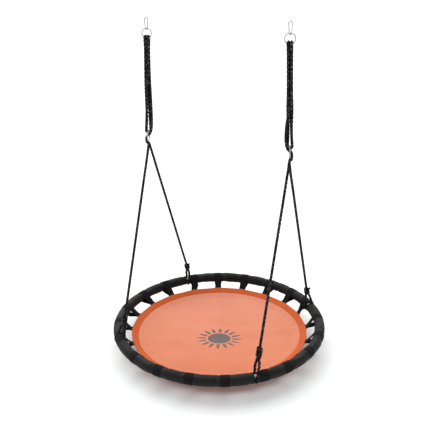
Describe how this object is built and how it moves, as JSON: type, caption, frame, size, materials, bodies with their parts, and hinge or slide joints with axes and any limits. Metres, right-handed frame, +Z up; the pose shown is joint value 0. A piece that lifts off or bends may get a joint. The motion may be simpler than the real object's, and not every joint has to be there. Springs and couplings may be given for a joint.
{
  "type": "nest swing",
  "caption": "Round saucer nest swing: a padded tube frame with a webbed-in fabric mat, hung level by paired ropes with ring adjusters from snap hooks.",
  "frame": {"origin": "midway between the inside crowns of the two snap hooks, where a beam's hangers would carry the swing", "axes": "+Z up; X along the line of the two hooks, +X to the right hook; +Y to the back of the seat"},
  "size_m": [1.0015, 1.0023, 1.4525],
  "materials": {
    "foam": "matte",
    "zinc_steel": "satin",
    "mat": "matte",
    "hem": "matte",
    "webbing": "matte",
    "rope": "matte"
  },
  "bodies": {
    "root": {"hook_left": "zinc_steel", "hook_right": "zinc_steel"},
    "gate_left": {"gate_left": "zinc_steel"},
    "gate_right": {"gate_right": "zinc_steel"},
    "ring_left": {"top_ring_left": "zinc_steel"},
    "ring_right": {"top_ring_right": "zinc_steel"},
    "rope_left": {"rope_leg_left_back": "rope", "rope_leg_left_front": "rope", "rope_upper_left_back": "rope", "rope_upper_left_front": "rope", "adjuster_ring_left": "zinc_steel", "knot_left_back": "rope", "knot_left_front": "rope"},
    "rope_right": {"rope_leg_right_back": "rope", "rope_leg_right_front": "rope", "rope_upper_right_back": "rope", "rope_upper_right_front": "rope", "adjuster_ring_right": "zinc_steel", "knot_right_back": "rope", "knot_right_front": "rope"},
    "seat": {"foam_sleeve_1": "foam", "foam_sleeve_2": "foam", "foam_sleeve_3": "foam", "foam_sleeve_4": "foam", "steel_tube_right_back": "zinc_steel", "steel_tube_left_back": "zinc_steel", "steel_tube_left_front": "zinc_steel", "steel_tube_right_front": "zinc_steel", "mat": "mat", "mat_hem": "hem", "strap_01": "webbing", "strap_02": "webbing", "strap_03": "webbing", "strap_04": "webbing", "strap_05": "webbing", "strap_06": "webbing", "strap_07": "webbing", "strap_08": "webbing", "strap_09": "webbing", "strap_10": "webbing", "strap_11": "webbing", "strap_12": "webbing", "strap_13": "webbing", "strap_14": "webbing", "strap_15": "webbing", "strap_16": "webbing", "strap_17": "webbing", "strap_18": "webbing", "strap_19": "webbing", "strap_20": "webbing", "rope_loop_right_back": "rope", "rope_loop_left_back": "rope", "rope_loop_left_front": "rope", "rope_loop_right_front": "rope"}
  },
  "joints": [
    {"name": "swing", "type": "hinge", "parent": "root", "child": "ring_left", "pos_m": [-0.3255, 0, -0.0422], "axis": [1, 0, 0], "range_deg": [-45, 45]},
    {"name": "sway", "type": "hinge", "parent": "ring_left", "child": "rope_left", "pos_m": [-0.3255, 0, -0.0637], "axis": [0, 1, 0], "range_deg": [-15, 15]},
    {"name": "level", "type": "hinge", "parent": "rope_left", "child": "seat", "pos_m": [-0.3155, 0, -1.31], "axis": [0, 1, 0], "range_deg": [-15, 15]},
    {"name": "swing_right", "type": "hinge", "parent": "root", "child": "ring_right", "pos_m": [0.3255, 0, -0.0422], "axis": [1, 0, 0], "range_deg": [-45, 45]},
    {"name": "sway_right", "type": "hinge", "parent": "ring_right", "child": "rope_right", "pos_m": [0.3255, 0, -0.0637], "axis": [0, 1, 0], "range_deg": [-15, 15]},
    {"name": "gate_left_open", "type": "hinge", "parent": "root", "child": "gate_left", "pos_m": [-0.32415, 0.00767, -0.0336], "axis": [0.9848, -0.1736, 0], "range_deg": [0, 20], "stiffness_Nm_per_rad": 0.02, "springref_deg": -28.65},
    {"name": "gate_right_open", "type": "hinge", "parent": "root", "child": "gate_right", "pos_m": [0.32842, 0.00722, -0.0336], "axis": [0.9272, -0.3746, 0], "range_deg": [0, 20], "stiffness_Nm_per_rad": 0.02, "springref_deg": -28.65}
  ],
  "couplings": [
    {"joint": "level", "follows": "sway", "ratio": -1},
    {"joint": "swing_right", "follows": "swing", "ratio": 1},
    {"joint": "sway_right", "follows": "sway", "ratio": 1}
  ]
}
